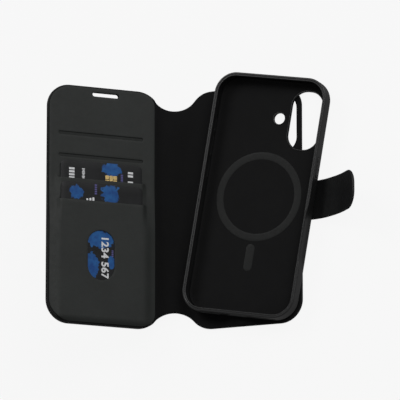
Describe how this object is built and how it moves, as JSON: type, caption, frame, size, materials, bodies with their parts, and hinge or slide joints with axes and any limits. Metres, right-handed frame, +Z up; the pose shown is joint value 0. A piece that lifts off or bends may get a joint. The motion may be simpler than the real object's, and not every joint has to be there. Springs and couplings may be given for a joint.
{
  "type": "phone wallet case",
  "caption": "Half-open folding phone wallet with card pockets, a curled closing strap and a soft phone case that lies skewed on its magnetic back leaf.",
  "frame": {"origin": "centre of the outer face of the back leaf, which lies on the table", "axes": "+Z up from the table, +Y towards the camera end, +X from the spine towards the closing strap"},
  "size_m": [0.1915, 0.1591, 0.0607],
  "materials": {
    "outer_leather": "fine-grained black artificial leather",
    "panel_leather": "smooth charcoal artificial leather",
    "strap_leather": "smooth black artificial leather",
    "microfibre": "black brushed microfibre",
    "case_microfibre": "black microfibre pad",
    "board": "stiffener sheet",
    "magnet": "nickel-plated magnet or steel plate",
    "card_plastic": "laminated plastic card",
    "chip_metal": "gold contact pad",
    "soft_case": "satin black thermoplastic elastomer",
    "button_plastic": "satin black plastic key"
  },
  "bodies": {
    "back_cover": {"back_skin": "outer_leather", "back_board": "board", "back_magnet_ring": "magnet", "back_alignment_magnet": "magnet", "back_lining": "microfibre", "strap_stub_skin": "outer_leather", "strap_stub_lining": "strap_leather"},
    "spine": {"spine_skin": "outer_leather", "spine_lining": "microfibre"},
    "front_cover": {"front_skin": "outer_leather", "front_board": "board", "front_closure_plate": "magnet", "front_fold_lining": "microfibre", "pocket_backing": "microfibre", "card_panel": "panel_leather", "pocket_divider": "panel_leather", "pocket_front": "panel_leather", "pocket_rails": "panel_leather"},
    "upper_card": {"upper_card": "card_plastic", "upper_card_chip": "chip_metal"},
    "lower_card": {"lower_card": "card_plastic"},
    "case_ring": {"case_magnet_ring": "magnet"},
    "case": {"case_shell": "soft_case", "case_back_skin": "outer_leather", "case_lining": "case_microfibre", "case_alignment_magnet": "magnet"},
    "strap_mid": {"strap_mid_skin": "outer_leather", "strap_mid_lining": "strap_leather"},
    "strap_tip": {"strap_tip_skin": "outer_leather", "strap_tip_lining": "strap_leather", "strap_magnet": "magnet"},
    "action_button": {"action_button": "button_plastic"},
    "volume_up_button": {"volume_up_button": "button_plastic"},
    "volume_down_button": {"volume_down_button": "button_plastic"},
    "side_button": {"side_button": "button_plastic"}
  },
  "joints": [
    {"name": "spine_fold", "type": "hinge", "parent": "back_cover", "child": "spine", "pos_m": [-0.03795, 0, 0.0009], "axis": [0, 1, 0], "range_deg": [-22, 68]},
    {"name": "cover_fold", "type": "hinge", "parent": "spine", "child": "front_cover", "pos_m": [-0.0538, 0, 0.00731], "axis": [0, 1, 0], "range_deg": [-22, 68]},
    {"name": "upper_card_slide", "type": "slide", "parent": "front_cover", "child": "upper_card", "axis": [0, 1, 0], "range_m": [0, 0.07]},
    {"name": "lower_card_slide", "type": "slide", "parent": "front_cover", "child": "lower_card", "axis": [0, 1, 0], "range_m": [0, 0.07]},
    {"name": "case_slide", "type": "slide", "parent": "back_cover", "child": "case_ring", "axis": [-0.9104, -0.4138, 0], "range_m": [0, 0.01087]},
    {"name": "case_turn", "type": "hinge", "parent": "case_ring", "child": "case", "pos_m": [0.0107, 0.0047, 0.004], "axis": [0, 0, 1], "range_deg": [0, 9.9]},
    {"name": "strap_bend", "type": "hinge", "parent": "back_cover", "child": "strap_mid", "pos_m": [0.05103, 0.0001, 0.00179], "axis": [0, -1, 0], "range_deg": [-30, 57]},
    {"name": "strap_tip_bend", "type": "hinge", "parent": "strap_mid", "child": "strap_tip", "pos_m": [0.06663, 0.0001, 0.01192], "axis": [0, -1, 0], "range_deg": [-14, 76]},
    {"name": "action_button_press", "type": "slide", "parent": "case", "child": "action_button", "axis": [0.9851, -0.1719, 0], "range_m": [0, 0.00035], "stiffness_N_per_m": 1500},
    {"name": "volume_up_button_press", "type": "slide", "parent": "case", "child": "volume_up_button", "axis": [0.9851, -0.1719, 0], "range_m": [0, 0.00035], "stiffness_N_per_m": 1500},
    {"name": "volume_down_button_press", "type": "slide", "parent": "case", "child": "volume_down_button", "axis": [0.9851, -0.1719, 0], "range_m": [0, 0.00035], "stiffness_N_per_m": 1500},
    {"name": "side_button_press", "type": "slide", "parent": "case", "child": "side_button", "axis": [-0.9851, 0.1719, 0], "range_m": [0, 0.00035], "stiffness_N_per_m": 1500}
  ],
  "couplings": [
    {"joint": "cover_fold", "follows": "spine_fold", "ratio": 1},
    {"joint": "case_turn", "follows": "case_slide", "rad_per_m": 15.881}
  ]
}
